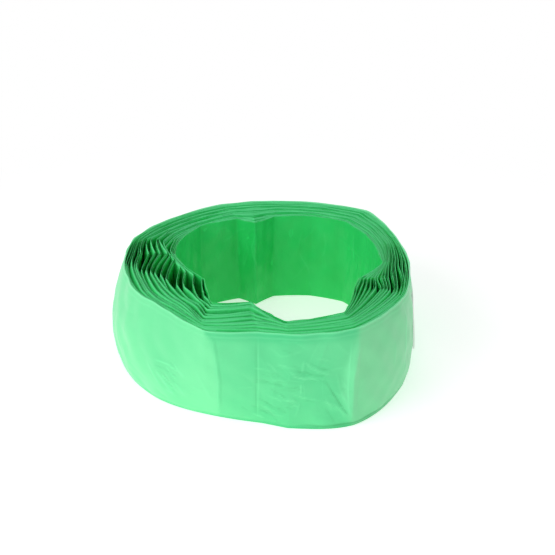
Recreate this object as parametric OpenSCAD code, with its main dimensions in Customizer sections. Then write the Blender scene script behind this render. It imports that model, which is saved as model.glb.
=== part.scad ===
// Continuous bag cassette: one endless tube of film, pleated to and fro into nested
// closed loops that stand on edge and make a ring-shaped pack with a hollow in the middle.
// Every loop is as long as the outermost one, so the inner loops kink at old creases.
// Millimetres, +Z up, the floor at z = 0, the pack's middle at the origin.

/* [Pack] */
// Nominal width of the ring across its bulging wall
pack_d = 290; // [270:1:360]
// Height from the floor to the fold edges along the outer rim
pack_h = 96; // [84:1:130]
// How far the wall bulges beyond the top rim
bulge = 8; // [3:0.5:12]
// How far the foot of the wall stands back from the belly
foot_back = 2; // [0:0.5:6]
// Radius of the round fold where the wall turns over into the top
rim_r = 3; // [2:0.5:6]
// Radius of the soft edge where the wall meets the floor
foot_r = 3; // [1:0.5:5]

/* [Pleats] */
// Thickness of the pleated stack where it is packed tightest
stack_w = 24; // [20:1:32]
// Bundles of pleats that show side by side across the top
bundles = 15; // [6:1:15]
// Thickness of one bundle at its fold
bundle_t = 1.2; // [0.8:0.1:2]
// Deepest gap between two loose bundles
gap_deep = 36; // [8:1:50]
// How far the innermost bundle has sagged below the rim
inner_sag = 3; // [0:0.5:12]
// How far the hollow widens towards the floor
hollow_draft = 1; // [0:0.5:10]

/* [Label] */
// Width of the blank label, measured around the wall
label_w = 64; // [30:1:90]
// Height of the label
label_h = 46; // [20:1:50]
// Thickness of the label
label_t = 0.6; // [0.4:0.1:1.2]
// Height of the label's lower edge above the floor
label_z = 30; // [10:1:34]
// Direction of the label's front edge, in degrees around the ring from the right
label_from = -19; // [-24:1:6]
// Clearance between the label and the film, for the adhesive
label_gap = 0.2; // [0.1:0.05:0.5]

/* [Hidden] */

// Creases of the folded stack, anticlockwise from the right. A row holds the crease's
// direction in degrees, how far the belly stands off the nominal circle there, what the
// rim and the foot add to their usual set-back, and then, for the middle layer and for the
// innermost one, how many degrees its kink has wandered and how much looser it lies.
// The distances are those of a pack 290 wide, and grow with it
creases = [
    [4, -3, 1, 2, -1, 7, -2, 1],
    [20, 0, 0, 2, 0, 0, 0, 1],
    [36, 3, 5, 0, 0, 1, -1, 3],
    [48, 6, 10, -2, 1, 3, 2, 6],
    [64, 3, 5, 0, 1, 1, 3, 5],
    [82, 0, 2, 0, 2, 3, 4, 9],
    [96, -1, 1, 0, 1, 9, 1, 24],
    [110, -1, 1, 0, -2, 3, -4, 8],
    [128, -1, -1, 0, 0, 2, 0, 5],
    [143, 0, -1, 0, 0, 5, 5, 14],
    [158, 1, 0, 0, -5, 12, 8, 26],
    [171, 1, -4, 0, -4, 30, 35, 49],
    [180, 1, -6, -2, 11, 20, 47, 35],
    [205, -3, -6, -6, 3, 16, 26, 26],
    [222, -9, -5, -5, 4, 8, 12, 17],
    [248, -13, 10, -9, -5, 6, -11, 25],
    [268, -15, 5, -5, -4, 17, -8, 34],
    [279, -9, 4, -1, 1, 2, 1, 4],
    [302, 4, 2, 2, 4, 4, 6, 7],
    [333, 2, 1, -3, 3, 11, -1, 25],
    [352, -3, 1, 0, -6, 14, -8, 21],
];
crease_n = len(creases);
grown = pack_d / 290;
// Points along the wall from one crease to the next
steps = 4;
ring_n = crease_n * steps;
// How straight the film runs between creases, at the outside and for the innermost loop
outer_straight = 0.25;
inner_straight = 0.4;
// How soon, from the rim inwards, the creases become sharp
sharp_from = 0.2;
// Where the belly lies, as a share of the height
belly_at = 0.45;
// How much deeper a gap gets for each millimetre that two bundles lie apart
gap_slope = 8;
// Levels of the wall between its two round edges
wall_levels = 5;

function mix(a, b, v) = a + (b - a) * v;
function turn_of(k) = 360 * floor(k / crease_n);
function row(k) = creases[(k % crease_n + crease_n) % crease_n];
function spot(r, a) = [r * cos(a), r * sin(a)];

// Smooth curve through four neighbouring values, between the middle two
function flow(p, q, r, s, v) =
    q + v / 2 * (r - p + v * (2 * p - 5 * q + 4 * r - s + v * (3 * (q - r) + s - p)));

// Radius of the belly, the rim and the foot at a crease
function belly_r(k) = pack_d / 2 + grown * row(k)[1];
function top_r(k) = belly_r(k) - bulge + grown * row(k)[2];
function base_r(k) = belly_r(k) - foot_back + grown * row(k)[3];

// A layer's place at a crease, with t from 0 at the rim to 1 at the hollow
function depth_mid(k) = stack_w / 2 + grown * row(k)[5];
function depth_in(k) = stack_w + grown * row(k)[7];
function two_part(a, b, t) = t < 0.5 ? 2 * t * a : mix(a, b, 2 * t - 1);
function layer_a(k, t) = row(k)[0] + turn_of(k) + two_part(row(k)[4], row(k)[6], t);
function layer_r(k, t) = top_r(k) - two_part(depth_mid(k), depth_in(k), t);

// A point on a closed line around the ring, from radii and angles at four creases
function along(r, a, v, sharp, straight) = mix(
    spot(mix(flow(r[0], r[1], r[2], r[3], v), mix(r[1], r[2], v), sharp), mix(a[1], a[2], v)),
    mix(spot(r[1], a[1]), spot(r[2], a[2]), v),
    straight);

function near(k) = [k - 1, k, k + 1, k + 2];
function layer_at(u, t) = along(
    [for (k = near(floor(u))) layer_r(k, t)],
    [for (k = near(floor(u))) layer_a(k, t)],
    u - floor(u),
    min(1, t / sharp_from),
    mix(outer_straight, inner_straight, t));
function belly_point(u) = along(
    [for (k = near(floor(u))) belly_r(k)],
    [for (k = near(floor(u))) layer_a(k, 0)],
    u - floor(u),
    0,
    outer_straight);
function base_point(u) = along(
    [for (k = near(floor(u))) base_r(k)],
    [for (k = near(floor(u))) layer_a(k, 0)],
    u - floor(u),
    0,
    outer_straight);

// The outer wall bows from the foot over the belly to the rim
function wall_point(u, z) =
    let (s = z / pack_h)
    base_point(u) * (1 - s) * (1 - s / belly_at)
        + belly_point(u) * s * (1 - s) / (belly_at * (1 - belly_at))
        + layer_at(u, 0) * s * (s - belly_at) / (1 - belly_at);
function moved_out(p, off) = p * (1 + off / norm(p));
function at_z(p, z) = [p[0], p[1], z];

// Heights and gaps of the bundles
function stack_at(u) = norm(layer_at(u, 1) - layer_at(u, 0));
function spacing(u) = stack_at(u) / bundles;
function crest_z(t) = pack_h - inner_sag * t * t;
function gap_z(u, t) =
    crest_z(t) - max(bundle_t, min(gap_deep, gap_slope * (spacing(u) - bundle_t)));

function foot_edge(u) = [
    for (a = [0 : 45 : 90])
        at_z(moved_out(wall_point(u, foot_r), -foot_r * (1 - sin(a))), foot_r * (1 - cos(a)))
];
function wall_line(u) = [
    for (i = [1 : wall_levels])
        let (z = mix(foot_r, pack_h - rim_r, i / wall_levels))
        at_z(wall_point(u, z), z)
];
function rim_edge(u) = [
    for (a = [30 : 30 : 90])
        at_z(layer_at(u, rim_r * (1 - cos(a)) / stack_at(u)),
            pack_h - rim_r * (1 - sin(a)))
];
function bundle_line(u, g) =
    let (half = min(0.3, bundle_t / 2 / spacing(u)))
    let (t = (g + 1 - half) / bundles)
    [
        at_z(layer_at(u, t - 0.5 / bundles), gap_z(u, t)),
        at_z(layer_at(u, t - half / bundles), crest_z(t) - bundle_t / 2),
        at_z(layer_at(u, t), crest_z(t)),
        at_z(layer_at(u, t + half / bundles), crest_z(t) - bundle_t / 2)
    ];
function hollow_line(u) = [
    for (s = [0.5, 0])
        at_z(moved_out(layer_at(u, 1), hollow_draft * (1 - s)), s * pack_h)
];
function section_at(u) = concat(
    foot_edge(u),
    wall_line(u),
    rim_edge(u),
    [for (g = [1 : bundles - 1], p = bundle_line(u, g)) p],
    hollow_line(u));

sections = [for (i = [0 : ring_n - 1]) section_at(i / steps)];

// The crease that lies before a direction, and the place of a direction between creases
function crease_before(a, k) = layer_a(k + 1, 0) > a ? k : crease_before(a, k + 1);
function place_of(a) =
    let (k = crease_before(a, -crease_n))
    k + (a - layer_a(k, 0)) / (layer_a(k + 1, 0) - layer_a(k, 0));
label_turn = label_w / (PI * pack_d) * 360;
label_cols = 10;
label_rows = 6;
label_grid = [
    for (off = [label_gap, label_gap + label_t])
        [
            for (i = [0 : label_cols])
                let (u = place_of(label_from + label_turn * i / label_cols))
                [
                    for (j = [0 : label_rows])
                        let (z = label_z + label_h * j / label_rows)
                        at_z(moved_out(wall_point(u, z), off), z)
                ]
        ]
];

// The origin goes to the middle of what is drawn
reach = [for (s = concat(sections, label_grid[1]), p = s) p];
middle = [
    (max([for (p = reach) p[0]]) + min([for (p = reach) p[0]])) / 2,
    (max([for (p = reach) p[1]]) + min([for (p = reach) p[1]])) / 2
];

// Closed skin over rings of points that join up both ways
module ring_skin(rings) {
    n = len(rings);
    m = len(rings[0]);
    polyhedron(
        points = [for (r = rings, p = r) p],
        faces = [
            for (i = [0 : n - 1], j = [0 : m - 1])
                let (a = i * m + j)
                let (b = i * m + (j + 1) % m)
                let (c = ((i + 1) % n) * m + (j + 1) % m)
                let (d = ((i + 1) % n) * m + j)
                for (f = [[a, b, c], [a, c, d]]) f
        ],
        convexity = 20);
}

module film_pack() {
    color([0.36, 0.84, 0.55])
        translate([-middle[0], -middle[1], 0])
            ring_skin(sections);
}

module label() {
    // The back face, the front face and the two again make a closed loop down each column
    rows = [
        for (i = [0 : label_cols])
            concat(label_grid[0][i], [for (j = [label_rows : -1 : 0]) label_grid[1][i][j]])
    ];
    m = 2 * (label_rows + 1);
    color("whitesmoke")
        translate([-middle[0], -middle[1], 0])
            polyhedron(
                points = [for (r = rows, p = r) p],
                faces = concat(
                    [
                        for (i = [0 : label_cols - 1], j = [0 : m - 1])
                            let (a = i * m + j)
                            let (b = i * m + (j + 1) % m)
                            for (f = [[a, b + m, b], [a, a + m, b + m]]) f
                    ],
                    [for (j = [0 : label_rows - 1]) for (f = [
                        [j, j + 1, m - 2 - j],
                        [j, m - 2 - j, m - 1 - j]]) f],
                    [for (j = [0 : label_rows - 1]) let (e = label_cols * m) for (f = [
                        [e + j, e + m - 2 - j, e + j + 1],
                        [e + j, e + m - 1 - j, e + m - 2 - j]]) f]),
                convexity = 4);
}

film_pack();
label();
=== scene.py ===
import math
import bpy
import numpy as np
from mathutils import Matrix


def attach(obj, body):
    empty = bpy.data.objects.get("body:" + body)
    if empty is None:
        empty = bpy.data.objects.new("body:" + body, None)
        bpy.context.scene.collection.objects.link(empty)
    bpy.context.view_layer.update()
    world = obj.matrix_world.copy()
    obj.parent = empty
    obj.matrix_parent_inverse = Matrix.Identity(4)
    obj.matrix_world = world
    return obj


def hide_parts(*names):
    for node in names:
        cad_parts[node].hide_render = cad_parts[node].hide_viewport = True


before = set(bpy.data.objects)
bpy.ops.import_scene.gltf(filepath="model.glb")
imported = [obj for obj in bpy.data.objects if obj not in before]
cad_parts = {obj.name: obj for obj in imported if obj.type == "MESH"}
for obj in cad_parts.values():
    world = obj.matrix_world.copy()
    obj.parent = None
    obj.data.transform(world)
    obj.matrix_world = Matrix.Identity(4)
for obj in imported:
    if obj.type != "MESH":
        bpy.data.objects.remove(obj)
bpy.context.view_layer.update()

mm = 0.001


def placed(name, data):
    made = bpy.data.objects.new(name, data)
    bpy.context.collection.objects.link(made)
    return made


# Camera and light

view = {
    "imageSize": 555,
    "focalPixels": 1200,         # distance to the image, in pixels of the photograph
    "place": (13.5, -999, 617),  # mm from the middle of the footprint
    "tilt": 28.4,                # degrees below level
}
light = {
    "sky": (1.0, 1.0, 1.0),
    "skyStrength": 0.55,
    "keyPlace": (-900, -600, 800),
    "keySize": 900,
    "keyPower": 6.6,
    "fillPlace": (200, -1200, 500),
    "fillSize": 900,
    "fillPower": 1.4,
}


def addCamera():
    data = bpy.data.cameras.new("camera")
    data.sensor_width = 36
    data.lens = data.sensor_width * view["focalPixels"] / view["imageSize"]
    camera = placed("camera", data)
    camera.location = [v * mm for v in view["place"]]
    camera.rotation_euler = (math.radians(90 - view["tilt"]), 0, 0)
    bpy.context.scene.camera = camera


def addLamp(name, place, size, power):
    data = bpy.data.lights.new(name, "AREA")
    data.size = size * mm
    data.energy = power
    lamp = placed(name, data)
    lamp.location = [v * mm for v in place]
    aim = -lamp.location.normalized()
    lamp.rotation_euler = aim.to_track_quat("-Z", "Y").to_euler()


addCamera()
addLamp("keyLamp", light["keyPlace"], light["keySize"], light["keyPower"])
addLamp("fillLamp", light["fillPlace"], light["fillSize"], light["fillPower"])
print("camera and lamps placed")


# Node helpers, shared by the materials and the geometry tree

class Wire:
    def __init__(self, board, socket):
        self.board = board
        self.socket = socket

    def maths(self, operation, *values):
        return self.board.node("ShaderNodeMath", {"operation": operation}, dict(enumerate(values)))

    def __add__(self, other):
        return self.maths("ADD", self, other)

    __radd__ = __add__

    def __mul__(self, other):
        return self.maths("MULTIPLY", self, other)

    def __sub__(self, other):
        return self.maths("SUBTRACT", self, other)

    def __rsub__(self, other):
        return self.maths("SUBTRACT", other, self)

    def __truediv__(self, other):
        return self.maths("DIVIDE", self, other)

    def __pow__(self, other):
        return self.maths("POWER", self, other)

    def size(self):
        return self.maths("ABSOLUTE", self)

    def sign(self):
        return self.maths("SIGN", self)

    def ramp(self, low, high, start=0.0, end=1.0):
        return self.board.node(
            "ShaderNodeMapRange",
            {"interpolation_type": "SMOOTHSTEP", "clamp": True},
            {0: self, 1: low, 2: high, 3: start, 4: end})

    def part(self, name):
        return Wire(self.board, self.socket.node.outputs[name])


class Board:
    def __init__(self, tree):
        self.tree = tree
        self.tree.nodes.clear()

    def node(self, kind, settings=None, values=None, output=0):
        made = self.tree.nodes.new(kind)
        for name, value in (settings or {}).items():
            setattr(made, name, value)
        for place, value in (values or {}).items():
            if isinstance(value, Wire):
                self.tree.links.new(value.socket, made.inputs[place])
            else:
                made.inputs[place].default_value = value
        return Wire(self, made.outputs[output]) if made.outputs else made

    def vector(self, operation, *values, output=0):
        settings = {"operation": operation}
        return self.node("ShaderNodeVectorMath", settings, dict(enumerate(values)), output)

    def stretched(self, vector, amount):
        return self.node("ShaderNodeVectorMath", {"operation": "SCALE"}, {0: vector, 3: amount})

    def axes(self, vector):
        split = self.node("ShaderNodeSeparateXYZ", None, {0: vector})
        return split, split.part("Y"), split.part("Z")

    def joined(self, x, y, z):
        return self.node("ShaderNodeCombineXYZ", None, {0: x, 1: y, 2: z})

    def colours(self, factor, one, two):
        return self.node(
            "ShaderNodeMix",
            {"data_type": "RGBA", "clamp_factor": True},
            {0: factor, 6: one, 7: two},
            2)

    def noise(self, vector, scale, detail=2.0, roughness=0.5, distortion=0.0, output=0):
        return self.node(
            "ShaderNodeTexNoise",
            None,
            {"Vector": vector, "Scale": scale, "Detail": detail, "Roughness": roughness,
             "Distortion": distortion},
            output)

    def stored(self, name):
        return self.node("ShaderNodeAttribute", {"attribute_name": name}, None, 2)

    def place(self):
        return self.node("ShaderNodeTexCoord", None, None, 3)


def newMaterial(name):
    made = bpy.data.materials.new(name)
    made.use_nodes = True
    return made, Board(made.node_tree)


# The folded stack's plan, with the solid's creases and sizes

pack = {
    # mm, as in the solid
    "width": 290,
    "height": 96,
    "bulge": 8,
    "footBack": 2,
    "stack": 24,
    "sag": 3,
    # how straight the film runs between creases, from the wall to the innermost loop
    "wallStraight": 0.12,
    "rimStraight": 0.22,
    "innerStraight": 0.4,
    "moreStraight": 0.4,        # what the rim adds on the side that runs straight to a corner
    "straightAt": (14.4, 1.2),  # place and reach of that side
    "sharpFrom": 0.2,           # how far in from the rim the creases are fully sharp
    "bellyAt": 0.45,            # as a share of the height
    "stepsPerCrease": 30,
    "wanderWaves": 8,
    "wanderLevel": 2.8,         # brings a sum of that many waves back to about 1
}
creaseColumns = (
    "direction", "belly", "rim", "foot", "midWander", "midSlack", "innerWander", "innerSlack")
# The belly of the first and the last crease, under the label, is 2 mm flatter than in the solid
creases = [
    (4, -5, 3, 4, -1, 7, -2, 1),
    (20, 0, 0, 2, 0, 0, 0, 1),
    (36, 3, 5, 0, 0, 1, -1, 3),
    (48, 6, 10, -2, 1, 3, 2, 6),
    (64, 3, 5, 0, 1, 1, 3, 5),
    (82, 0, 2, 0, 2, 3, 4, 9),
    (96, -1, 1, 0, 1, 9, 1, 24),
    (110, -1, 1, 0, -2, 3, -4, 8),
    (128, -1, -1, 0, 0, 2, 0, 5),
    (143, 0, -1, 0, 0, 5, 5, 14),
    (158, 1, 0, 0, -5, 12, 8, 26),
    (171, 1, -4, 0, -4, 30, 35, 49),
    (180, 1, -6, -2, 11, 20, 47, 35),
    (205, -3, -6, -6, 3, 16, 26, 26),
    (222, -9, -5, -5, 4, 8, 12, 17),
    (248, -13, 10, -9, -5, 6, -11, 25),
    (268, -15, 5, -5, -4, 17, -8, 34),
    (279, -9, 4, -1, 1, 2, 1, 4),
    (302, 4, 2, 2, 4, 4, 6, 7),
    (333, 2, 1, -3, 3, 11, -1, 25),
    (352, -5, 3, 2, -6, 14, -8, 21),
]
creaseTable = dict(zip(creaseColumns, np.array(creases, float).T))
creaseCount = len(creases)
ringCount = creaseCount * pack["stepsPerCrease"]
ringPlaces = np.arange(ringCount) / pack["stepsPerCrease"]
# The solid stands with the middle of its box at the origin
boxMiddle = np.array([-2.063, 4.938])


def creaseValues(name, crease):
    return creaseTable[name][crease % creaseCount]


def twoPart(mid, inner, t):
    return np.where(t < 0.5, 2 * t * mid, mid + (inner - mid) * (2 * t - 1))


def layerAngle(crease, t):
    turns = 360 * np.floor_divide(crease, creaseCount)
    drift = twoPart(creaseValues("midWander", crease), creaseValues("innerWander", crease), t)
    return creaseValues("direction", crease) + turns + drift


def bellyRadius(crease):
    return pack["width"] / 2 + creaseValues("belly", crease)


def rimRadius(crease):
    return bellyRadius(crease) - pack["bulge"] + creaseValues("rim", crease)


def footRadius(crease):
    return bellyRadius(crease) - pack["footBack"] + creaseValues("foot", crease)


def layerRadius(crease, t):
    mid = pack["stack"] / 2 + creaseValues("midSlack", crease)
    inner = pack["stack"] + creaseValues("innerSlack", crease)
    return rimRadius(crease) - twoPart(mid, inner, t)


def flow(p, q, r, s, v):
    return q + v / 2 * (r - p + v * (2 * p - 5 * q + 4 * r - s + v * (3 * (q - r) + s - p)))


def spot(radius, angle):
    turned = np.radians(angle)
    return np.stack([radius * np.cos(turned), radius * np.sin(turned)], -1)


def along(radiusAt, u, t, straight):
    crease = np.floor(u).astype(int)
    v = u - crease
    radii = [radiusAt(crease + k) for k in (-1, 0, 1, 2)]
    start, end = layerAngle(crease, t), layerAngle(crease + 1, t)
    sharp = np.clip(t / pack["sharpFrom"], 0, 1)
    radius = flow(*radii, v) * (1 - sharp) + (radii[1] + (radii[2] - radii[1]) * v) * sharp
    curved = spot(radius, start + (end - start) * v)
    first, last = spot(radii[1], start), spot(radii[2], end)
    chord = first + (last - first) * v[..., None]
    return curved + (chord - curved) * np.asarray(straight)[..., None]


def bell(away, reach):
    return np.exp(-(away / reach) ** 2)


def around(u, middle, reach):
    return bell((u - middle + creaseCount / 2) % creaseCount - creaseCount / 2, reach)


def layerAt(u, t):
    rimStraight = pack["rimStraight"] + pack["moreStraight"] * around(u, *pack["straightAt"])
    straight = rimStraight + (pack["innerStraight"] - rimStraight) * t
    return along(lambda crease: layerRadius(crease, t), u, t, straight)


def wallParts(u):
    zero = np.zeros_like(u)
    return (
        along(footRadius, u, zero, zero + pack["wallStraight"]),
        along(bellyRadius, u, zero, zero + pack["wallStraight"]),
        layerAt(u, zero))


def stackWidth(u):
    across = layerAt(u, np.ones_like(u)) - layerAt(u, np.zeros_like(u))
    return np.linalg.norm(across, axis=-1)


def bowWeights(s):
    # Shares of the foot, the belly and the rim in the wall's bow
    b = pack["bellyAt"]
    return (1 - s) * (1 - s / b), s * (1 - s) / (b * (1 - b)), s * (s - b) / (1 - b)


def wander(places, seed, size, strength):
    # Smooth closed wave around the ring, a sum of a few sines with seeded phases
    rng = np.random.default_rng(seed)
    turn = places / creaseCount * 2 * math.pi
    waves = sum(
        rng.normal() * np.sin(k * turn + rng.uniform(0, 2 * math.pi))
        for k in rng.integers(size, 3 * size, pack["wanderWaves"]))
    return strength * waves / pack["wanderLevel"]


def softened(path, times):
    # Takes the sharpest point off each kink, as film does when it folds
    for _ in range(times):
        path = (np.roll(path, 1, 0) + 2 * path + np.roll(path, -1, 0)) / 4
    return path


# Mesh helpers

def store(mesh, name, values):
    attribute = mesh.attributes.new(name, "FLOAT", "POINT")
    attribute.data.foreach_set("value", values.ravel())


def storeShares(mesh, shares):
    for name, values in shares.items():
        store(mesh, name, np.clip(values, 0, 1))


def facedOut(mesh):
    mesh.calc_loop_triangles()
    corners = np.empty(len(mesh.loop_triangles) * 3, int)
    mesh.loop_triangles.foreach_get("vertices", corners)
    places = np.empty(len(mesh.vertices) * 3)
    mesh.vertices.foreach_get("co", places)
    a, b, c = places.reshape(-1, 3)[corners.reshape(-1, 3)].transpose(1, 0, 2)
    if np.einsum("ij,ij->", a, np.cross(b, c)) < 0:
        mesh.flip_normals()


def kept(piece, node):
    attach(piece, "root")
    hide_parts(node)


def finished(mesh, node, material=None):
    if material:
        mesh.materials.append(material)
    kept(placed(mesh.name, mesh), node)
    print(mesh.name, "has", len(mesh.polygons), "faces")


def gridMesh(name, grid):
    rows, columns = grid.shape[:2]
    index = np.arange(rows * columns).reshape(rows, columns)
    down = np.roll(index, -1, 0)
    faces = np.stack([index, down, np.roll(down, -1, 1), np.roll(index, -1, 1)], -1)
    mesh = bpy.data.meshes.new(name)
    mesh.from_pydata(grid.reshape(-1, 3).tolist(), [], faces.reshape(-1, 4).tolist())
    mesh.polygons.foreach_set("use_smooth", [True] * len(mesh.polygons))
    facedOut(mesh)
    return mesh


def outwardOf(heading):
    side = np.stack([heading[:, 1], -heading[:, 0]], -1)
    return side / np.linalg.norm(side, axis=-1, keepdims=True)


# Film materials

film = {
    "wallTone": (0.18, 0.81, 0.36, 1),
    "doubledAndShaded": (0.06, 0.62, 0.24, 1),    # where film lies double behind the wall, and painted shade on darker panels, under the rim and at the foot
    "loopTone": (0.055, 0.8, 0.215, 1),
    "loopDeep": (0.015, 0.54, 0.105, 1),
    "highlightAndPale": (0.21, 0.93, 0.43, 1),   # painted highlights on folds, hem lines, the flap and crumple seams, and wrinkles stretched pale on the wall
    # painted highlight along the loops' crests
    "loopHighlight": (0.155, 0.96, 0.385, 1),
    "turned": (0.205, 0.665, 0.32, 1),    # the wall where it turns from the light
    # painted shade on the dark sides of wrinkles and folds, and at the foot
    "dark": (0.04, 0.42, 0.14, 1),
    "roughness": 0.3,
    "clouds": (16, 3, 0.55),    # size, detail and roughness of the soft patches
    "cloudShade": 0.25,
    "cloudRoughness": 0.12,
    "hatching": (700, 2, 0.6),
    "hatchingUpwards": 0.08,    # draws the hatching out into upright lines
    "hatchingHeight": 0.6,
    "grain": (170, 3, 0.62, 0.6),
    "grainLean": (0.5, 0.4),
    "bump": 0.5,
    "bumpHeight": 0.0006,
}
crumpling = {
    "size": 55,       # facets to the metre
    "bendSize": 30,
    "bend": 0.006,    # metres by which the facets' edges are bent
    "patchSize": 70,
    "seamWidth": 0.05,
    "seamBrightness": 0.16,
    "facetShade": 0.25,
}
# tone, shaded tone, tone of the painted highlights on the folds, hatching, grain, gloss and depth of the
# crumples
finishes = {
    "loopFilm": ("loopTone", "loopDeep", "loopHighlight", 0.4, 0.3, 0.15, 0),
    "insideFilm": ("loopTone", "loopDeep", "loopHighlight", 0.1, 0.4, 0.25, 0),
    "wallFilm": ("wallTone", "doubledAndShaded", "highlightAndPale", 0.03, 0.5, 0.45, 2.5),
}


def withCrumples(board, place, lit, height, deep, depth):
    # Crumpled film: bumps, with painted shade towards the rims of the facets, and a lighter line on the
    # seams, partly painted highlight and partly film stretched pale
    waves = board.noise(place, crumpling["bendSize"], 2, 0.5, 0.0, 1)
    cells = {
        "Vector": board.vector("ADD", place, board.stretched(waves, crumpling["bend"])),
        "Scale": crumpling["size"],
    }
    facets = board.node("ShaderNodeTexVoronoi", {"feature": "F1"}, cells)
    seams = board.node("ShaderNodeTexVoronoi", {"feature": "DISTANCE_TO_EDGE"}, cells)
    crumpled = board.stored("crumple")
    broken = board.noise(place, crumpling["patchSize"], 2, 0.6).ramp(0.44, 0.6) * crumpled
    seams = seams.ramp(0.0, crumpling["seamWidth"], 1.0, 0.0)
    lit = board.colours(seams * broken * crumpling["seamBrightness"], lit, film["highlightAndPale"])
    lit = board.colours(facets.ramp(0.2, 0.9) * crumpled * crumpling["facetShade"], lit, deep)
    return lit, height + facets * crumpled * depth


def filmMaterial(name, tone, deep, edge, fine, folded, specular, crumpled):
    made, board = newMaterial(name)
    place = board.place()
    x, y, z = board.axes(place)
    leanX, leanZ = film["grainLean"]
    cloud = board.noise(place, *film["clouds"])
    hatch = board.noise(board.joined(x, y, z * film["hatchingUpwards"]), *film["hatching"])
    grain = board.noise(board.joined(x * leanX + z * leanZ, y, z), *film["grain"])
    shade = cloud.ramp(0.35, 0.7) * film["cloudShade"] + board.stored("shade")
    lit = board.colours(shade, film[tone], film[deep])
    lit = board.colours(hatch.ramp(0.3, 0.75) * fine, lit, film[deep])
    height = hatch * fine * film["hatchingHeight"] + grain * folded
    if crumpled:
        lit = board.colours(board.stored("turned"), lit, film["turned"])
        lit = board.colours(board.stored("dark"), lit, film["dark"])
    lit = board.colours(board.stored("edge"), lit, film[edge])
    if crumpled:
        lit, height = withCrumples(board, place, lit, height, film[deep], crumpled)
    bump = board.node("ShaderNodeBump", None, {
        "Strength": film["bump"], "Distance": film["bumpHeight"], "Height": height})
    shader = board.node("ShaderNodeBsdfPrincipled", None, {
        "Base Color": lit,
        "Roughness": film["roughness"] + cloud * film["cloudRoughness"],
        "Specular IOR Level": specular,
        "Normal": bump,
    })
    board.node("ShaderNodeOutputMaterial", None, {0: shader})
    return made


loopFilm, insideFilm, wallFilm = (filmMaterial(name, *finish) for name, finish in finishes.items())
print("film materials made")


# Nested loops of film, swept by a geometry tree along guide lines

loops = {
    # each bundle: its place across the loose stack and across the tight one, its sheets, and
    # how far its folds lie below the others where the stack is tight and where it is loose
    "bundles": [
        (0.04, 0.05, 1, 0.5, 0.3), (0.07, 0.11, 2, 1.9, 1.5), (0.11, 0.18, 2, 0.2, 0.0),
        (0.145, 0.27, 2, 2.1, 1.6), (0.19, 0.37, 3, 0.0, 0.0), (0.26, 0.43, 2, 2.2, 1.4),
        (0.32, 0.495, 2, 1.8, 0.0), (0.40, 0.56, 3, 0.1, 0.4), (0.46, 0.62, 2, 2.2, 0.0),
        (0.52, 0.68, 2, 1.9, 0.5), (0.60, 0.76, 3, 0.0, 0.0), (0.70, 0.825, 2, 2.1, 1.2),
        (0.80, 0.88, 2, 1.8, 0.0), (0.875, 0.93, 2, 1.5, 0.2), (0.96, 0.975, 2, 0.2, 0.0)],
    "tightPitch": 0.62,     # mm from sheet to sheet of a bundle
    "loosePitch": 0.85,
    "thick": 0.45,
    "crestThick": 0.95,     # the fold that stands highest in each bundle
    # painted highlight along the crests, full on the highest fold of each bundle
    "crestBright": 0.95,
    "otherBright": 0.25,    # the most of the others
    "otherLow": (0.5, 1.1),  # mm that the others lie below the crest
    "belowRim": 0.3,
    "mostShade": 0.5,
    "clearOut": 2.4,        # mm kept from the outermost sheet
    "clearIn": 1.2,         # and from the innermost one
    "looseFrom": 30,        # mm of stack at which it starts to be loose
    "looseOver": 24,        # and in which it gets fully so
    "looseSoftened": 30,
    "driftTight": 0.25,     # how much of its drift and lean a bundle keeps where it is tight
    "leanTight": 0.2,
    "leanFrom": 8,          # how soon from the rim a bundle may lean
    "freeFrom": 8,          # how soon from either side a sheet may ripple
    "waves": {
        # first seed, waves around the ring, and height or share
        "drift": (20, 2, 0.5), "drop": (50, 3, 0.5), "crest": (200, 10, 0.15),
        "lean": (300, 3, 0.9), "pitch": (400, 4, 0.2), "edge": (500, 8, 0.2)},
    # the side where the folds stand level and even, and what it adds or takes there, painted highlight
    # on the crests included
    "dense": {"place": 0.2, "reach": 1.8, "pitch": 0.35, "thick": 0.55, "level": 0.6, "bright": 0.3},
    # the side where the folds' painted highlight is dimmer, so that their colour is deeper
    "deep": {"place": 12.8, "reach": 3.0, "dimmer": 0.28},
    "pieces": 3,
    "profilePoints": 16,
    "towardsCrest": 0.6,    # less than 1 gathers a profile's points near its crest
    "edgeFrom": 0.968,      # share of the height over which the fold turns bright
    "edgeTo": 0.99,
    "pointSpacing": 1.6,
    "ripple": 0.2,
    "rippleSize": 26,
    "seed": 7,
}


def looseness(u):
    width = stackWidth(u)
    loose = np.clip((width - loops["looseFrom"]) / loops["looseOver"], 0, 1)[:, None]
    return width, softened(loose, loops["looseSoftened"])[:, 0]


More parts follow.
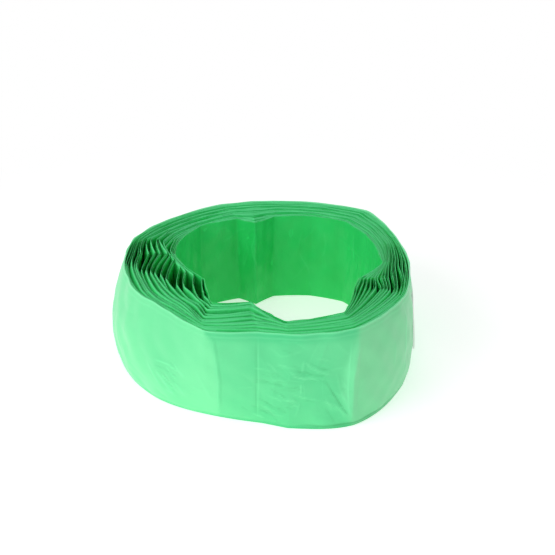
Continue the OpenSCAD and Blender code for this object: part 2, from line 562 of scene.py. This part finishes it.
def guideLines():
    def wave(name, number):
        seed, size, strength = loops["waves"][name]
        return wander(ringPlaces, seed + number, size, strength)

    width, loose = looseness(ringPlaces)
    foot, belly, rim = wallParts(ringPlaces)
    rng = np.random.default_rng(loops["seed"])
    dense, deep = loops["dense"], loops["deep"]
    denseHere = around(ringPlaces, dense["place"], dense["reach"])
    deepHere = around(ringPlaces, deep["place"], deep["reach"])
    lines = []
    for number, (far, close, count, lowTight, lowLoose) in enumerate(loops["bundles"]):
        drift = wave("drift", number) * (loops["driftTight"] + loose)
        drop = lowTight * (1 - loose) + lowLoose * loose + np.abs(wave("drop", number))
        lean = wave("lean", number) * (loops["leanTight"] + loose) * min(1, loops["leanFrom"] * far)
        for k in range(count):
            order = len(lines)
            first = k == 0
            pitch = loops["tightPitch"] * (1 - loose) + loops["loosePitch"] * loose
            pitch = pitch * (1 + dense["pitch"] * denseHere) * (1 + wave("pitch", order))
            t = close * (1 - loose) + far * loose
            t = t + (drift + (k - (count - 1) / 2) * pitch) / width
            t = np.clip(t, loops["clearOut"] / width, 1 - loops["clearIn"] / width)
            bright = loops["crestBright"] if first else loops["otherBright"] * rng.random()
            below = drop if first else drop + rng.uniform(*loops["otherLow"])
            below = below * (1 - dense["level"] * denseHere)
            crest = pack["height"] - pack["sag"] * t ** 2 - below + wave("crest", order)
            edge = bright + dense["bright"] * denseHere + wave("edge", order)
            keep = (1 - t)[:, None]
            lines.append({
                "path": softened(layerAt(ringPlaces, t), 1) - boxMiddle,
                "free": np.clip(loops["freeFrom"] * np.minimum(t, 1 - t), 0, 1),
                "thick": loops["crestThick" if first else "thick"] * (1 + dense["thick"] * denseHere),
                "crest": np.minimum(crest, pack["height"] - loops["belowRim"]),
                "lean": lean,
                "shade": rng.uniform(0, loops["mostShade"]) * (1 - denseHere),
                "edge": np.clip(edge * (1 - deep["dimmer"] * deepHere), 0, 1),
                "bellyShift": (belly - rim) * keep,
                "footShift": (foot - rim) * keep,
            })
    return lines


def guideMesh(lines):
    mesh = bpy.data.meshes.new("loopGuides")
    verts = np.concatenate([np.column_stack([line["path"], np.zeros(ringCount)]) for line in lines])
    index = np.arange(len(verts)).reshape(len(lines), ringCount)
    edges = np.stack([index, np.roll(index, -1, 1)], -1).reshape(-1, 2)
    mesh.from_pydata((verts * mm).tolist(), edges.tolist(), [])
    for name in ("shade", "edge", "free", "thick", "crest", "lean"):
        scale = mm if name in ("thick", "crest", "lean") else 1
        store(mesh, name, np.concatenate([line[name] for line in lines]) * scale)
    for name in ("bellyShift", "footShift"):
        shifts = np.concatenate([line[name] for line in lines]) * mm
        attribute = mesh.attributes.new(name, "FLOAT_VECTOR", "POINT")
        attribute.data.foreach_set("vector", np.column_stack([shifts, np.zeros(len(shifts))]).ravel())
    return mesh


def loopTree(material):
    tree = bpy.data.node_groups.new("sweepLoops", "GeometryNodeTree")
    board = Board(tree)
    face = tree.interface
    face.new_socket("Guides", in_out="INPUT", socket_type="NodeSocketGeometry")
    sizes = {
        "Point Spacing": loops["pointSpacing"] * mm,
        "Ripple": loops["ripple"] * mm,
        "Ripple Size": loops["rippleSize"] * mm,
        "Profile Points": loops["profilePoints"],
        "Seed": loops["seed"],
    }
    for name, value in sizes.items():
        kind = "NodeSocketInt" if isinstance(value, int) else "NodeSocketFloat"
        face.new_socket(name, in_out="INPUT", socket_type=kind)
    face.new_socket("Loops", in_out="OUTPUT", socket_type="NodeSocketGeometry")
    given = board.node("NodeGroupInput")

    def named(name, kind="FLOAT"):
        return board.node("GeometryNodeInputNamedAttribute", {"data_type": kind}, {"Name": name})

    def captured(geometry, value):
        node = tree.nodes.new("GeometryNodeCaptureAttribute")
        node.capture_items.new("VECTOR", "Kept")
        tree.links.new(geometry.socket, node.inputs[0])
        tree.links.new(value.socket, node.inputs[1])
        return Wire(board, node.outputs[0]), Wire(board, node.outputs[1])

    # The guide lines become curves, each with its direction and place kept
    curve = board.node("GeometryNodeMeshToCurve", None, {0: given.part("Guides")})
    curve = board.node(
        "GeometryNodeResampleCurve",
        {"mode": "LENGTH"},
        {"Curve": curve, "Length": given.part("Point Spacing")})
    place = board.node("GeometryNodeInputPosition")
    curve, path = captured(curve, place)
    curve, heading = captured(curve, board.node("GeometryNodeInputTangent"))

    # A round profile turns into a tall thin fold, with most of its points near the crest
    profile = board.node(
        "GeometryNodeCurvePrimitiveCircle",
        None,
        {"Resolution": given.part("Profile Points"), 4: 1.0})
    profile, ring = captured(profile, place)
    mesh = board.node("GeometryNodeCurveToMesh", None, {"Curve": curve, "Profile Curve": profile})
    px, py, _ = board.axes(ring)
    share = (py * 0.5 + 0.5) ** loops["towardsCrest"]
    b = pack["bellyAt"]
    bellyWeight = share * (1 - share) / (b * (1 - b))
    footWeight = (1 - share) * (1 - share / b)
    outward = board.vector("CROSS_PRODUCT", heading, (0, 0, 1))
    swirl = board.vector("DIVIDE", path, board.joined(*[given.part("Ripple Size")] * 3))
    swirl = board.vector("ADD", swirl, board.joined(0, 0, share * 3 + given.part("Seed")))
    wave = board.noise(swirl, 1.0, 2, 0.5) - 0.5
    aside = px.sign() * (px.size() ** 0.5) * named("thick") * 0.5
    aside = aside + wave * given.part("Ripple") * 2 * share * named("free")
    aside = aside + named("lean") * (share ** 4)
    now = board.vector("ADD", path, board.stretched(outward, aside))
    now = board.vector("ADD", now, board.stretched(named("bellyShift", "FLOAT_VECTOR"), bellyWeight))
    now = board.vector("ADD", now, board.stretched(named("footShift", "FLOAT_VECTOR"), footWeight))
    now = board.vector("ADD", now, board.joined(0, 0, share * named("crest")))
    mesh = board.node("GeometryNodeSetPosition", None, {"Geometry": mesh, "Position": now})
    # The crest of each fold carries its painted highlight
    mesh = board.node(
        "GeometryNodeStoreNamedAttribute",
        {"data_type": "FLOAT", "domain": "POINT"},
        {"Geometry": mesh, "Name": "edge",
         "Value": named("edge") * share.ramp(loops["edgeFrom"], loops["edgeTo"])})
    mesh = board.node("GeometryNodeSetShadeSmooth", None, {"Geometry": mesh, "Shade Smooth": True})
    mesh = board.node("GeometryNodeRealizeInstances", None, {"Geometry": mesh})
    mesh = board.node("GeometryNodeSetMaterial", None, {"Geometry": mesh, "Material": material})
    board.node("NodeGroupOutput", None, {0: mesh})
    return tree, sizes


def setInputs(modifier, tree, sizes):
    for item in tree.interface.items_tree:
        if item.in_out == "INPUT" and item.name in sizes:
            modifier[item.identifier] = sizes[item.name]


def plainMesh(name, source):
    bpy.context.view_layer.update()
    shaped = source.evaluated_get(bpy.context.evaluated_depsgraph_get())
    mesh = bpy.data.meshes.new_from_object(shaped)
    mesh.name = name
    return mesh


def makeLoops():
    lines = guideLines()
    tree, sizes = loopTree(loopFilm)
    for number, some in enumerate(np.array_split(np.arange(len(lines)), loops["pieces"])):
        guides = placed("loopGuides", guideMesh([lines[i] for i in some]))
        modifier = guides.modifiers.new("sweepLoops", "NODES")
        modifier.node_group = tree
        setInputs(modifier, tree, sizes)
        mesh = plainMesh(f"filmLoops{number + 1}", guides)
        guides.modifiers.remove(modifier)
        bpy.data.objects.remove(guides)
        facedOut(mesh)
        finished(mesh, "film_pack")


makeLoops()


# The outermost and the innermost sheet, with their folds, hems and wrinkles

sheets = {
    "spacing": 1.15,      # mm from point to point along the film
    "levels": 66,         # points up its face
    "backLevels": 8,
    "round": 0.6,         # radius of the edge at the foot and at the rim
    "footPoints": 4,
    "rimPoints": 5,
    "calmFoot": 3,        # mm above the floor over which the wrinkles come in
    "rumple": (11, 38, 0.35),   # seed, size and height of the soft unevenness
    "insideRumple": (5, 16, 0.15),
    "insideUpwards": 0.15,      # draws it out into upright folds
    "rumpleWaves": 14,
    "rumpleLevel": math.sqrt(7),
    # mm below the rim, and seed, waves and height of the crest's waviness
    "wallCrest": (0.3, 77, 9, 0.12),
    "insideCrest": (3.4, 78, 7, 0.5),
    "insideShade": (0.6, 79, 8, 0.1),   # shade, and how it waves
}
# mm below the rim or above the foot, width, and how far the film stands out or, for the bright lines,
# how strong their painted highlight is
hems = {
    "rim": [(0, 1.1, 0.35), (3.2, 1.5, -0.55), (5.4, 0.8, 0.35), (6.6, 0.8, -0.3)],
    "foot": [(4.2, 0.9, -0.45), (5.6, 0.9, 0.3)],
    "bright": [(0, 0.9, 0.7), (5.4, 0.6, 0.38)],
}
strokeShape = {
    "fade": 5,              # how fast a wrinkle fades at its ends
    "end": 0.02,
    "crestRound": 0.16,
    "markWidth": 0.75,
}
looseShape = {
    # long soft wrinkles, placed by a seeded draw
    "heights": (12, 84),
    "within": (7, 88),
    "leanSpread": 0.35,
    "bend": 0.25,
    "parts": 3,
    "partLength": (6, 14),
    "height": (0.25, 0.7),
    "signs": [1, 1, -1],
    "width": (1.5, 3),
    "bright": (0, 0.12),
}
fineShape = {
    # short fine wrinkles that lie side by side, some bright and some dark
    "within": (8, 84),
    "turnSpread": 14,
    "halfLength": (3.5, 10),
    "bend": 0.8,
    "height": 0.35,
    "width": 1.3,
    "strength": (0.5, 1),
}
# count, place between creases, height, spread both ways, direction in degrees, and the strengths of
# their painted highlight and painted shade
clusters = [
    (40, 16.9, 46, (12, 12), -22, (0.3, -0.24)),
    (14, 17.3, 60, (9, 6), -14, (0.3, -0.24)),
    (12, 16.35, 18, (10, 6), -28, (0.3, -0.24)),
    (10, 17.75, 26, (7, 9), -52, (0.3, -0.24)),
    (12, 14.2, 34, (9, 11), -40, (0.7, -0.2)),
]
# long soft wrinkles: count, first and last place, and the share of them that stand upright
looseWrinkles = {
    "seed": 3,
    "rear": (46, 19.4, 0.66, 0.35),     # for the last place, the share of the way round to it
    "front": (8, 16.2, 18, 0.3),
    "insideSeed": 4,
    "inside": (90, 0.6),
}
# height, width, brightness (above 0 painted highlight and film stretched pale, below 0 painted shade)
# and the line that it follows, as places between creases and heights
wrinkles = [
    (0.9, 2.0, 0.32, [(14.98, 95), (15.14, 87), (15.18, 73), (15.22, 46), (15.14, 8)]),
    (-0.4, 1.6, -0.14, [(15.03, 94), (15.2, 87), (15.24, 73), (15.28, 46), (15.2, 8)]),
    (-0.7, 0.9, -0.34, [(15.955, 91), (15.955, 50), (15.925, 5)]),
    (0.4, 0.8, 0.26, [(15.99, 91), (15.99, 50), (15.96, 5)]),
    (1.0, 3.0, 0.26, [(18.08, 82), (17.96, 51), (17.94, 9)]),
    (-0.7, 2.5, 0, [(18.14, 81), (18.06, 56), (18.02, 7)]),
    (0.6, 1.8, 0.7, [(14.06, 48), (14.32, 49), (14.54, 45)]),
    (-0.5, 1.5, -0.2, [(14.08, 43), (14.3, 42), (14.5, 39)]),
    (0.7, 1.9, 0.8, [(14.08, 38), (14.22, 30), (14.34, 19), (14.4, 14)]),
    (-0.5, 1.5, -0.2, [(14.16, 40), (14.3, 32), (14.42, 20)]),
    (0.6, 1.5, 0.7, [(13.85, 42), (14.05, 30), (14.2, 18)]),
    (0.4, 1.8, 0.21, [(14.82, 53), (14.98, 32), (15.04, 20)]),
    (0.4, 1.5, 0.21, [(14.72, 34), (14.88, 30)]),
    (0.5, 1.6, 0.26, [(17.24, 71), (17.34, 63), (17.64, 56)]),
    (0.4, 1.5, 0.26, [(16.98, 63), (17.1, 56), (17.24, 53), (17.48, 54)]),
    (0.7, 2.2, 0.21, [(17.7, 59), (17.76, 41), (17.96, 9)]),
    (0.6, 1.8, 0.26, [(17.48, 31), (17.68, 25), (17.94, 9)]),
    (0.4, 1.5, 0.21, [(17.02, 39), (17.24, 34), (17.48, 31)]),
    (0.4, 1.5, 0.21, [(16.14, 22), (16.5, 14), (16.92, 13)]),
    (0.4, 1.5, 0.21, [(16.98, 36), (17.16, 27), (17.1, 13)]),
    (0.4, 1.0, 0.36, [(17.22, 71), (17.2, 60)]),
    (0.4, 1.0, 0.36, [(17.18, 49), (17.18, 38)]),
    (0.4, 1.8, 0.15, [(16.36, 83), (16.74, 75), (17.24, 81)]),
    (0.4, 1.8, 0.15, [(17.72, 86), (17.82, 79), (17.92, 73)]),
    (0.4, 1.5, 0.15, [(18.64, 65), (18.64, 39)]),
    (0.5, 1.5, 0.21, [(18.9, 52), (18.94, 16)]),
    (-0.4, 2.0, 0, [(13.16, 28), (13.5, 22), (13.72, 17)]),
    (0.3, 1.2, 0.5, [(18.94, 90), (18.91, 60), (18.86, 24)]),
    (-0.3, 1.4, -0.36, [(17.5, 56), (17.72, 30), (17.92, 9)]),
    (-0.3, 1.4, -0.32, [(17.1, 62), (17.35, 57), (17.6, 55)]),
    (0.3, 1.4, 0.55, [(17.96, 84), (17.9, 62), (17.88, 36), (17.9, 12)]),
    (-0.3, 1.4, -0.32, [(17.6, 44), (17.76, 26), (17.9, 12)]),
]


def evenPlaces(lineAt, spacing):
    fine = np.linspace(0, creaseCount, 4001)
    run = np.concatenate([[0], np.cumsum(np.linalg.norm(np.diff(lineAt(fine), axis=0), axis=1))])
    count = int(run[-1] / spacing)
    at = np.arange(count) * run[-1] / count
    return np.interp(at, run, fine), at, lambda u: np.interp(u, fine, run), run[-1]


def strokeField(run, z, total, strokes):
    # Ridges and valleys along short lines: how far they stand out, their bright marks, film stretched
    # pale and painted highlight, and their dark marks, painted shade
    out = np.zeros((len(run), len(z)))
    glow = np.zeros_like(out)
    dark = np.zeros_like(out)
    for height, width, bright, points in strokes:
        near = np.full_like(out, 1e9)
        share = np.zeros_like(out)
        length = sum(math.dist(a, b) for a, b in zip(points, points[1:]))
        done = 0
        for a, b in zip(points, points[1:]):
            px = (run[:, None] - a[0] + total / 2) % total - total / 2
            pz = z - a[1]
            dx, dz = b[0] - a[0], b[1] - a[1]
            v = np.clip((px * dx + pz * dz) / (dx * dx + dz * dz), 0, 1)
            far = np.hypot(px - v * dx, pz - v * dz)
            step = math.hypot(dx, dz)
            share = np.where(far < near, (done + v * step) / length, share)
            near = np.minimum(near, far)
            done += step
        fromEnd = np.minimum(share, 1 - share) + strokeShape["end"]
        fade = np.clip(strokeShape["fade"] * fromEnd, 0, 1)
        out += height * fade * np.exp(-np.sqrt(near ** 2 + strokeShape["crestRound"]) / width)
        mark = abs(bright) * fade * bell(near, strokeShape["markWidth"])
        if bright > 0:
            glow += mark
        else:
            dark += mark
    return out, np.clip(glow, 0, 1), np.clip(dark, 0, 1)


def looseStrokes(rng, count, low, high, upright):
    strokes = []
    for _ in range(count):
        start = np.array([rng.uniform(low, high), rng.uniform(*looseShape["heights"])])
        standing = rng.random() < upright
        turn = rng.normal(math.pi / 2, looseShape["leanSpread"]) if standing else rng.uniform(0, math.pi)
        points = [start]
        for _ in range(looseShape["parts"]):
            turn += rng.normal(0, looseShape["bend"])
            step = rng.uniform(*looseShape["partLength"])
            points.append(points[-1] + step * np.array([math.cos(turn), math.sin(turn)]))
        height = rng.uniform(*looseShape["height"]) * rng.choice(looseShape["signs"])
        width = rng.uniform(*looseShape["width"])
        bright = rng.uniform(*looseShape["bright"])
        line = [(p[0], float(np.clip(p[1], *looseShape["within"]))) for p in points]
        strokes.append((height, width, bright, line))
    return strokes


def fineStrokes(rng, count, middle, height, spread, turn, brightAndDark):
    strokes = []
    for _ in range(count):
        across = rng.normal(middle, spread[0])
        at = np.array([across, np.clip(rng.normal(height, spread[1]), *fineShape["within"])])
        heading = math.radians(rng.normal(turn, fineShape["turnSpread"]))
        half = rng.uniform(*fineShape["halfLength"]) * np.array([math.cos(heading), math.sin(heading)])
        bend = rng.normal(0, fineShape["bend"], 2)
        bright = rng.choice(brightAndDark) * rng.uniform(*fineShape["strength"])
        line = [tuple(at - half), tuple(at + bend), tuple(at + half)]
        strokes.append((fineShape["height"] * np.sign(bright), fineShape["width"], bright, line))
    return strokes


def wallStrokes(total, runOf):
    strokes = [(h, w, g, [(float(runOf(u)), z) for u, z in line]) for h, w, g, line in wrinkles]
    rng = np.random.default_rng(looseWrinkles["seed"])
    count, start, share, upright = looseWrinkles["rear"]
    strokes += looseStrokes(rng, count, runOf(start), runOf(start) + total * share, upright)
    for count, place, *rest in clusters:
        strokes += fineStrokes(rng, count, runOf(place), *rest)
    count, start, end, upright = looseWrinkles["front"]
    return strokes + looseStrokes(rng, count, runOf(start), runOf(end), upright)


def insideStrokes(total, runOf):
    count, upright = looseWrinkles["inside"]
    rng = np.random.default_rng(looseWrinkles["insideSeed"])
    return looseStrokes(rng, count, 0, total, upright)


def rumple(run, z, total, seed, size, strength):
    rng = np.random.default_rng(seed)
    field = 0
    for _ in range(sheets["rumpleWaves"]):
        k = round(total / size * rng.uniform(0.4, 1.6))
        m = rng.normal(0, 1 / size)
        turns = k * run[:, None] / total + m * z
        field = field + np.sin(2 * math.pi * turns + rng.uniform(0, 7))
    return strength * field / sheets["rumpleLevel"]


def bands(distance, rows):
    return sum(level * bell(distance - place, width) for place, width, level in rows)


def sheetLevels():
    # Heights up the face and down the back, and how far the round edges lie behind the face
    r = sheets["round"]
    height = pack["height"]

    def edge(points):
        turn = np.linspace(0, math.pi / 2, points)
        return r * (1 - np.cos(turn)), r * (1 - np.sin(turn))

    footUp, footIn = edge(sheets["footPoints"])
    rimIn, rimDown = edge(sheets["rimPoints"])
    face = np.linspace(r, height - r, sheets["levels"])[1:-1]
    front = np.concatenate([footUp, face, height - rimDown])
    inset = np.concatenate([footIn, 0 * face, rimIn])
    return front, inset, np.linspace(height - r, r, sheets["backLevels"])


wallFolds = {
    # the fold lines that part lighter film from darker, as heights and places between creases
    "corner": ([0, 8, 46, 73, 87, 95], [15.12, 15.14, 15.22, 15.18, 15.10, 14.96]),
    "middle": ([0, 96], [15.94, 15.96]),
    "facet": ([0, 9, 36, 60, 80, 96], [17.93, 17.90, 17.78, 17.84, 18.0, 18.08]),
    "right": ([0, 9, 51, 82, 96], [17.94, 17.94, 17.97, 18.06, 18.09]),
    "footFrom": ([0, 96], [17.35, 17.35]),
    "footTo": ([0, 96], [18.7, 18.7]),
    "end": ([0, 96], [19.7, 19.7]),
}
# crumpled patches: place, height, half width, half height, strength
crumples = [
    (17.15, 50, 0.42, 20, 1.0), (17.75, 24, 0.25, 20, 0.9), (16.5, 18, 0.4, 14, 0.5),
    (14.2, 34, 0.32, 20, 1.0), (18.7, 45, 0.4, 30, 0.35), (2.5, 45, 1.2, 30, 0.6),
    (5.5, 40, 1.4, 30, 0.7), (9.0, 50, 1.5, 30, 0.6), (11.8, 50, 0.8, 30, 0.25),
    (0.2, 12, 0.8, 10, 0.5)]
wallPaintedLight = {
    # painted shade between two folds, where the panel turns from the light and partly where film lies
    # double
    "cornerToMiddle": 0.42,
    "middleToFacet": 0.46,
    "facetToRight": 0.12,
    # and painted shade, with the height or width over which it fades, under the rim, at the foot and low
    # at the right
    "rim": (0.35, 9),
    "foot": (0.6, 2.2),
    "low": (0.24, 55),
    # the turned side: its tone and what that gains towards the rear, where it does so, and the
    # share of the tone at the foot, with the height up to which that grows
    "turned": (0.7, 0.1),
    "turnedFrom": (18.2, 0.9),
    "turnedLow": (0.75, 45),
    "flap": 0.38,
    "flapEnds": (4, 20, 8, 12),   # above the foot, its fade, below the rim, its fade
    # the shadow under the foot, everywhere and at the right, and a dark line above it there
    "footDark": (0.15, 0.35, 2.0),
    "footLine": (0.85, 3.6, 1.2),
}


def past(places, z, fold, soft):
    line = np.interp(z, *wallFolds[fold])
    return 1 / (1 + np.exp(-np.clip((places[:, None] - line) / soft, -60, 60)))


def wallShade(places, z):
    corner, middle = past(places, z, "corner", 0.02), past(places, z, "middle", 0.01)
    facet, right = past(places, z, "facet", 0.03), past(places, z, "right", 0.012)
    end = past(places, z, "end", 0.15)
    band, bandWidth = wallPaintedLight["rim"]
    foot, footHeight = wallPaintedLight["foot"]
    low, lowHeight = wallPaintedLight["low"]
    # Painted shade: darker panels between the folds, partly double film, and darker under the rim, at
    # the foot and low at the right
    return (
        wallPaintedLight["cornerToMiddle"] * (corner - middle)
        + wallPaintedLight["middleToFacet"] * (middle - facet)
        + wallPaintedLight["facetToRight"] * (facet - right)
        + low * np.clip(1 - z / lowHeight, 0, 1) * (right - end)
        + band * np.exp(-((pack["height"] - z) / bandWidth) ** 4) * (corner - end)
        + foot * bell(z, footHeight))


def wallTurned(places, z):
    right, end = past(places, z, "right", 0.012), past(places, z, "end", 0.2)
    least, more = wallPaintedLight["turned"]
    start, over = wallPaintedLight["turnedFrom"]
    atFoot, height = wallPaintedLight["turnedLow"]
    far = np.clip((places[:, None] - start) / over, 0, 1)
    up = atFoot + (1 - atFoot) * np.clip(z / height, 0, 1)
    return (least + more * far) * up * (right - end)


def flapGlow(places, z):
    # The narrow flap in front of the right fold lies towards the light
    low, lowFade, high, highFade = wallPaintedLight["flapEnds"]
    ends = np.clip((z - low) / lowFade, 0, 1) * np.clip((pack["height"] - high - z) / highFade, 0, 1)
    return wallPaintedLight["flap"] * ends * (past(places, z, "facet", 0.02) - past(places, z, "right", 0.012))


def footDark(places, z):
    near = past(places, z, "footFrom", 0.1) - past(places, z, "footTo", 0.2)
    everywhere, there, height = wallPaintedLight["footDark"]
    line, lineHeight, lineWidth = wallPaintedLight["footLine"]
    return (everywhere + there * near) * bell(z, height) + line * near * bell(z - lineHeight, lineWidth)


def wallCrumple(places, z):
    return sum(
        strength * bell(places[:, None] - place, wide) * bell(z - height, tall)
        for place, height, wide, tall, strength in crumples)


def insideShade(places, z):
    shade, *waves = sheets["insideShade"]
    return shade + wander(places, *waves)[:, None] + 0 * z


def makeSheet(name, t, facing, strokes, crest, shadeAt, material):
    outermost = t == 0

    def lineAt(u):
        return wallParts(u)[1] if outermost else layerAt(u, np.full_like(u, t))

    places, run, runOf, total = evenPlaces(lineAt, sheets["spacing"])
    foot, belly, rim = (softened(p, 2) for p in wallParts(places))
    top = softened(layerAt(places, np.full_like(places, t)), 1)
    front, inset, back = sheetLevels()
    heights = np.concatenate([front, back])
    out, glow, dark = strokeField(run, front, total, strokes(total, runOf))
    out = out + rumple(run, front, total, *sheets["rumple"])
    if outermost:
        out = out + bands(pack["height"] - front, hems["rim"]) + bands(front, hems["foot"])
    else:
        out = out + rumple(run, front * sheets["insideUpwards"], total, *sheets["insideRumple"])
    out = out * np.clip(front / sheets["calmFoot"], 0, 1) - inset
    toBack = ((0, 0), (0, len(back)))
    out = np.pad(out, toBack, constant_values=-2 * sheets["round"])
    glow, dark = np.pad(glow, toBack), np.pad(dark, toBack)
    path = rim if outermost else top
    outward = facing * outwardOf(np.roll(path, -1, 0) - np.roll(path, 1, 0))
    below, *waves = sheets[crest]
    crestAt = pack["height"] - below + wander(places, *waves)
    columns = []
    for z, off in zip(heights, out.T):
        footWeight, bellyWeight, _ = bowWeights(z / pack["height"])
        line = top + ((foot - rim) * footWeight + (belly - rim) * bellyWeight) * (1 - t)
        line = line + outward * off[:, None] - boxMiddle
        columns.append(np.column_stack([line, z * crestAt / pack["height"]]))
    mesh = gridMesh(name, np.stack(columns, 1) * mm)
    if outermost:
        # painted highlights on the hem lines and on the flap, and painted shadow at the foot
        glow = glow + bands(pack["height"] - heights, hems["bright"]) + flapGlow(places, heights)
        storeShares(mesh, {
            "crumple": wallCrumple(places, heights),
            "turned": wallTurned(places, heights),
            "dark": dark + footDark(places, heights),
        })
    storeShares(mesh, {"edge": glow, "shade": shadeAt(places, heights)})
    finished(mesh, "film_pack", material)


makeSheet("filmWall", 0, 1, wallStrokes, "wallCrest", wallShade, wallFilm)
makeSheet("filmInside", 1, -1, insideStrokes, "insideCrest", insideShade, insideFilm)


# The lower folds that join one loop to the next, just above the floor

lowerFolds = {
    "spacing": 3,
    "top": 5.5,
    "bottom": 1.2,
    "wave": 1.6,
    "across": 45,
    "margin": 2.5,     # mm kept from either side of the stack
    "shade": 0.8,
}


def makeLowerFolds():
    places = evenPlaces(lambda u: layerAt(u, np.zeros_like(u)), lowerFolds["spacing"])[0]
    foot, _, rim = wallParts(places)
    inset = lowerFolds["margin"] / stackWidth(places)
    shares = np.linspace(0, 1, lowerFolds["across"])
    wave = lowerFolds["wave"] * np.abs(np.sin(math.pi * len(loops["bundles"]) * shares))
    shares = np.concatenate([shares, shares[::-1]])
    heights = np.concatenate([lowerFolds["top"] - wave, lowerFolds["bottom"] + wave[::-1]])
    columns = []
    for share, height in zip(shares, heights):
        t = inset + (1 - 2 * inset) * share
        line = layerAt(places, t) + (foot - rim) * (1 - t)[:, None] - boxMiddle
        columns.append(np.column_stack([line, np.full(len(places), height)]))
    mesh = gridMesh("lowerFolds", np.stack(columns, 1) * mm)
    every = np.ones(len(mesh.vertices))
    storeShares(mesh, {"edge": 0 * every, "shade": lowerFolds["shade"] * every})
    finished(mesh, "film_pack", loopFilm)


makeLowerFolds()


# Label

paper = {
    "tone": (0.90, 0.86, 0.88, 1),
    "pale": (0.97, 0.94, 0.95, 1),
    "roughness": 0.6,
    "fibre": (2500, 2, 0.6),
    "bump": 0.1,
    "bumpHeight": 0.0002,
}
label = {
    "from": -19,      # degrees around the ring, of its front edge
    "width": 64,
    "height": 46,
    "low": 30,        # mm above the floor
    "sunk": 0.5,      # its back lies in the film's wrinkles, so that no slit shows
    "stands": 0.9,
    "lift": 1.6,      # how far its lower front corner has come away
    "liftFades": (3.5, 1.2),   # how fast that ends, across and upwards
    "backFollows": 0.85,
    "wave": 0.12,
    "columns": 64,
    "rows": 46,
}


def paperMaterial():
    made, board = newMaterial("labelPaper")
    fibre = board.noise(board.place(), *paper["fibre"])
    tone = board.colours(fibre, paper["tone"], paper["pale"])
    bump = board.node("ShaderNodeBump", None, {
        "Strength": paper["bump"], "Distance": paper["bumpHeight"], "Height": fibre})
    shader = board.node("ShaderNodeBsdfPrincipled", None, {
        "Base Color": tone, "Roughness": paper["roughness"], "Normal": bump})
    board.node("ShaderNodeOutputMaterial", None, {0: shader})
    return made


def placesOf(directions):
    # Places between creases at which the ring has these directions, in degrees
    fine = np.linspace(-creaseCount / 2, creaseCount / 2, 4001)
    before = np.floor(fine).astype(int)
    start, end = layerAngle(before, 0.0), layerAngle(before + 1, 0.0)
    return np.interp(directions, start + (end - start) * (fine - before), fine)


def labelSides():
    across = np.linspace(0, 1, label["columns"] + 1)
    turn = 360 * label["width"] / (math.pi * pack["width"])
    parts = wallParts(placesOf(label["from"] + turn * across))
    outward = outwardOf(np.gradient(parts[1], axis=0))
    acrossFade, upFade = label["liftFades"]
    sides = []
    for off, follows in ((-label["sunk"], label["backFollows"]), (label["stands"], 1)):
        rows = []
        for up in np.linspace(1, 0, label["rows"] + 1):
            z = label["low"] + label["height"] * up
            line = sum(weight * part for weight, part in zip(bowWeights(z / pack["height"]), parts))
            away = follows * label["lift"] * np.clip(1 - across * acrossFade - up * upFade, 0, 1)
            away = away + label["wave"] * np.sin(across * 23 + up * 5) * np.sin(up * 9 + 1)
            line = line + outward * (off + away)[:, None] - boxMiddle
            rows.append(np.column_stack([line, np.full(len(across), z)]))
        sides.append(np.stack(rows))
    return sides


def makeLabel():
    inner, outer = labelSides()
    loop = np.concatenate([outer, inner[::-1]])
    count, width = loop.shape[:2]
    index = np.arange(count * width).reshape(count, width)
    below = np.roll(index, -1, 0)
    faces = np.stack([index[:, :-1], below[:, :-1], below[:, 1:], index[:, 1:]], -1)
    faces = faces.reshape(-1, 4).tolist()
    # The two upright edges
    for j in range(count // 2 - 1):
        for edge in (0, -1):
            a, b = index[j, edge], index[j + 1, edge]
            c, d = index[count - 2 - j, edge], index[count - 1 - j, edge]
            faces.append([a, d, c, b] if edge == 0 else [a, b, c, d])
    mesh = bpy.data.meshes.new("labelPaper")
    mesh.from_pydata((loop.reshape(-1, 3) * mm).tolist(), [], faces)
    facedOut(mesh)
    finished(mesh, "label", paperMaterial())


makeLabel()


# Floor and backdrop

stage = {
    "floorColour": (0.95, 0.95, 0.95, 1),
    "glow": 0.42,     # light of its own, as of a lit table
    "floorSize": 12,
    "fadeFrom": 0.20,
    "fadeTo": 0.55,
    "roughness": 0.9,
    "gloss": 0.1,
}


def makeFloor():
    mesh = bpy.data.meshes.new("floor")
    h = stage["floorSize"] / 2
    mesh.from_pydata([(-h, -h, 0), (h, -h, 0), (h, h, 0), (-h, h, 0)], [], [(0, 1, 2, 3)])
    made, board = newMaterial("floorPaint")
    far = board.vector("LENGTH", board.place(), output=1).ramp(stage["fadeFrom"], stage["fadeTo"])
    painted = board.node("ShaderNodeBsdfPrincipled", None, {
        "Base Color": stage["floorColour"],
        "Roughness": stage["roughness"],
        "Specular IOR Level": stage["gloss"],
        "Emission Color": (1, 1, 1, 1),
        "Emission Strength": stage["glow"],
    })
    glowing = board.node("ShaderNodeEmission", None, {0: (1, 1, 1, 1), 1: 1.0})
    both = board.node("ShaderNodeMixShader", None, {0: far, 1: painted, 2: glowing})
    board.node("ShaderNodeOutputMaterial", None, {0: both})
    mesh.materials.append(made)
    floor = placed("floor", mesh)


def makeSky():
    world = bpy.data.worlds.new("studio")
    bpy.context.scene.world = world
    world.use_nodes = True
    board = Board(world.node_tree)
    rays = board.node("ShaderNodeLightPath", None, None, "Is Camera Ray")
    seen = rays.maths("MAXIMUM", rays, rays.part("Is Glossy Ray"))
    seen = seen.maths("MAXIMUM", seen, rays.part("Is Transmission Ray"))
    lit = board.node("ShaderNodeBackground", None, {0: (*light["sky"], 1), 1: light["skyStrength"]})
    shown = board.node("ShaderNodeBackground", None, {0: (1, 1, 1, 1), 1: 1.0})
    both = board.node("ShaderNodeMixShader", None, {0: seen, 1: lit, 2: shown})
    board.node("ShaderNodeOutputWorld", None, {0: both})


makeFloor()
makeSky()
bpy.context.scene.view_settings.view_transform = "Standard"
print("floor and sky made")
